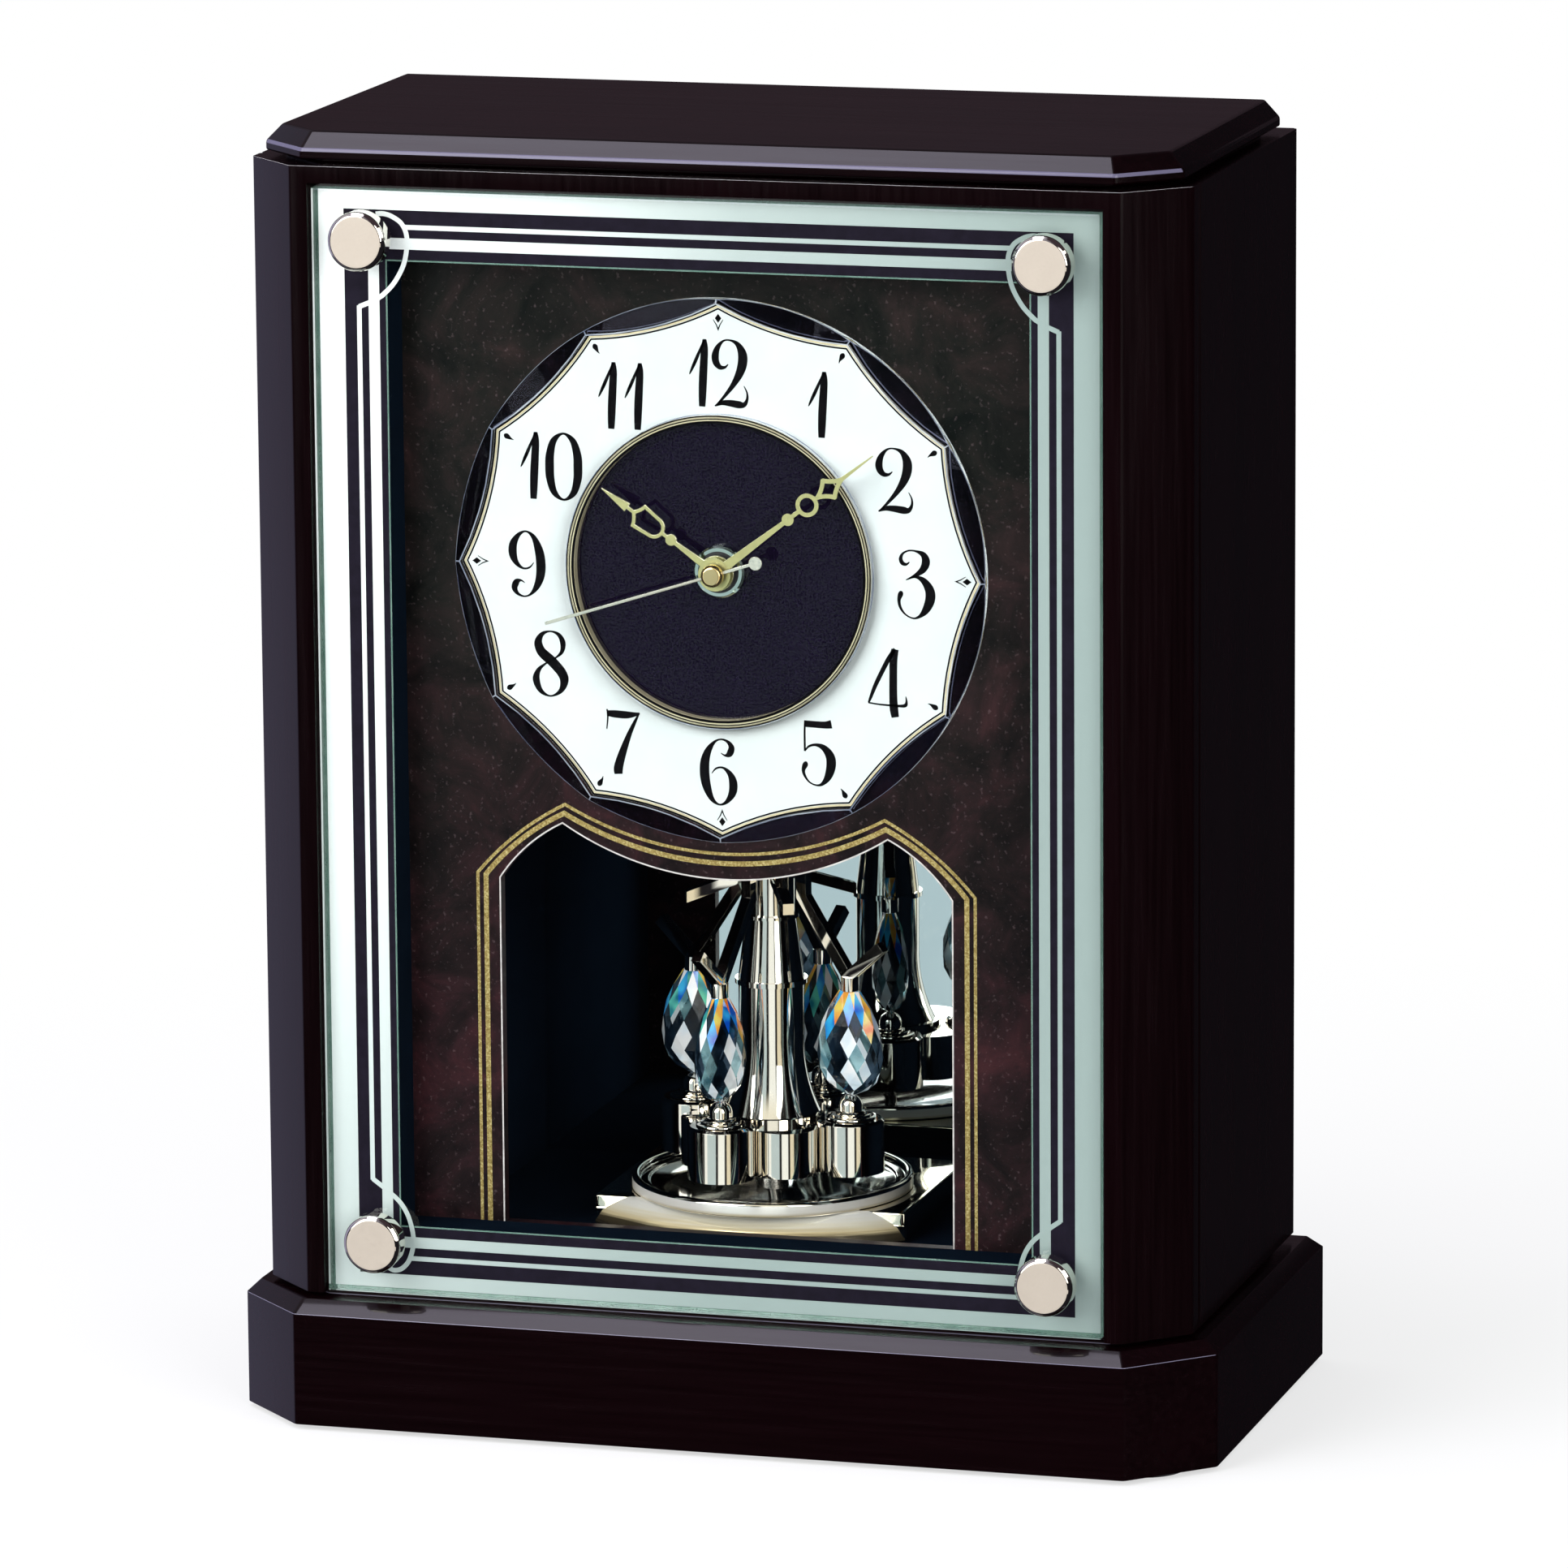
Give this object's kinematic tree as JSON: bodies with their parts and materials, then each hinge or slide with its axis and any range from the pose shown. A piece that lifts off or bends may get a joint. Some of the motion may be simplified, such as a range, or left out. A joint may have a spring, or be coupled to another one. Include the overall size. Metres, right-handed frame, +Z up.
{
  "type": "desk pendulum clock",
  "caption": "Wooden desk clock with a glass front, a twelve-pointed hour ring and a revolving crystal pendulum in a mirrored chamber below the dial.",
  "frame": {"origin": "on the table under the middle of the base, at the felt feet's underside", "axes": "+Z up, the dial faces -Y, +X to the right of someone who reads the dial"},
  "size_m": [0.19, 0.1, 0.246],
  "materials": {
    "lacquered_wood": "semi-gloss dark burgundy lacquer",
    "board_wood": "dark stained board",
    "felt": "felt",
    "screw_steel": "satin",
    "front_glass": "polished, printed lines on its back",
    "knob_metal": "champagne satin",
    "dark_panel": "near-black satin",
    "burl": "polished dark burl with gilt lines",
    "dial_white": "clean white, black numerals",
    "clear_lens": "clear, ground facets",
    "center_dark": "glossy dark plum, bare",
    "gilt": "polished gilt",
    "hand_gold": "pale olive gold",
    "movement_plastic": "moulded",
    "battery_jacket": "plain printed jacket",
    "contact_metal": "nickel",
    "circuit": "green lacquer",
    "copper_wire": "enamelled copper",
    "gear_plastic": "moulded",
    "gear_brass": "turned",
    "mirror_glass": "silvered",
    "champagne_chrome": "mirror-bright champagne plating",
    "crystal": "cut clear crystal",
    "magnet": "nickel-plated magnet"
  },
  "bodies": {
    "case": {"base_plinth": "lacquered_wood", "base_cover": "board_wood", "felt_feet": "felt", "front_frame": "lacquered_wood", "side_panel_left": "lacquered_wood", "side_panel_right": "lacquered_wood", "top_board": "board_wood", "bottom_board": "board_wood", "lid": "lacquered_wood", "back_panel": "board_wood", "case_screws": "screw_steel", "glass_panel": "front_glass", "glass_knobs": "knob_metal", "shadow_box": "dark_panel", "dial_board": "burl", "dial_ring": "dial_white", "dial_lens": "clear_lens", "dial_center": "center_dark", "center_ring": "gilt", "dial_nut": "contact_metal", "movement_case": "movement_plastic", "movement_cover": "movement_plastic", "movement_battery": "battery_jacket", "battery_contacts": "contact_metal", "circuit_board": "circuit", "step_coil": "copper_wire", "chamber_wall_left": "dark_panel", "chamber_wall_right": "dark_panel", "chamber_roof": "dark_panel", "mirror": "mirror_glass", "stage": "champagne_chrome", "stage_dish": "champagne_chrome", "pivot_pin": "contact_metal", "drive_coil": "copper_wire", "drive_battery": "battery_jacket", "hinge_fixed_leaves": "gear_brass", "hinge_pins": "gear_brass", "door_catch": "board_wood"},
    "minute": {"minute_hand": "hand_gold", "cannon_pinion": "gear_brass"},
    "hour": {"hour_hand": "hand_gold", "hour_wheel": "gear_plastic"},
    "setting": {"minute_wheel": "gear_plastic", "set_knob": "movement_plastic"},
    "second": {"second_hand": "hand_gold", "second_wheel": "gear_plastic"},
    "pendulum": {"rotor_base": "champagne_chrome", "finials": "champagne_chrome", "column": "champagne_chrome", "column_sleeve": "champagne_chrome", "rotor_arms": "champagne_chrome", "crystal_1": "crystal", "crystal_2": "crystal", "crystal_3": "crystal", "crystal_4": "crystal", "rotor_magnets": "magnet"},
    "door": {"back_door": "board_wood", "hinge_door_leaves": "gear_brass", "door_knob": "gear_brass"}
  },
  "joints": [
    {"name": "minute_hand_turn", "type": "hinge", "parent": "case", "child": "minute", "pos_m": [0, -0.0337, 0.1654], "axis": [0, -1, 0], "continuous": true},
    {"name": "hour_hand_turn", "type": "hinge", "parent": "case", "child": "hour", "pos_m": [0, -0.0337, 0.1654], "axis": [0, -1, 0], "continuous": true},
    {"name": "setting_turn", "type": "hinge", "parent": "case", "child": "setting", "pos_m": [0, -0.0337, 0.1779], "axis": [0, -1, 0], "continuous": true},
    {"name": "second_hand_turn", "type": "hinge", "parent": "case", "child": "second", "pos_m": [0, -0.0337, 0.1654], "axis": [0, -1, 0], "continuous": true},
    {"name": "pendulum_turn", "type": "hinge", "parent": "case", "child": "pendulum", "pos_m": [0, -0.0033, 0.0464], "axis": [0, 0, 1], "continuous": true},
    {"name": "door_swing", "type": "hinge", "parent": "case", "child": "door", "pos_m": [-0.0476, 0.0484, 0.179], "axis": [0, 0, 1], "range_deg": [0, 110]}
  ],
  "couplings": [
    {"joint": "hour_hand_turn", "follows": "minute_hand_turn", "ratio": 0.083333},
    {"joint": "setting_turn", "follows": "minute_hand_turn", "ratio": -0.33333}
  ]
}
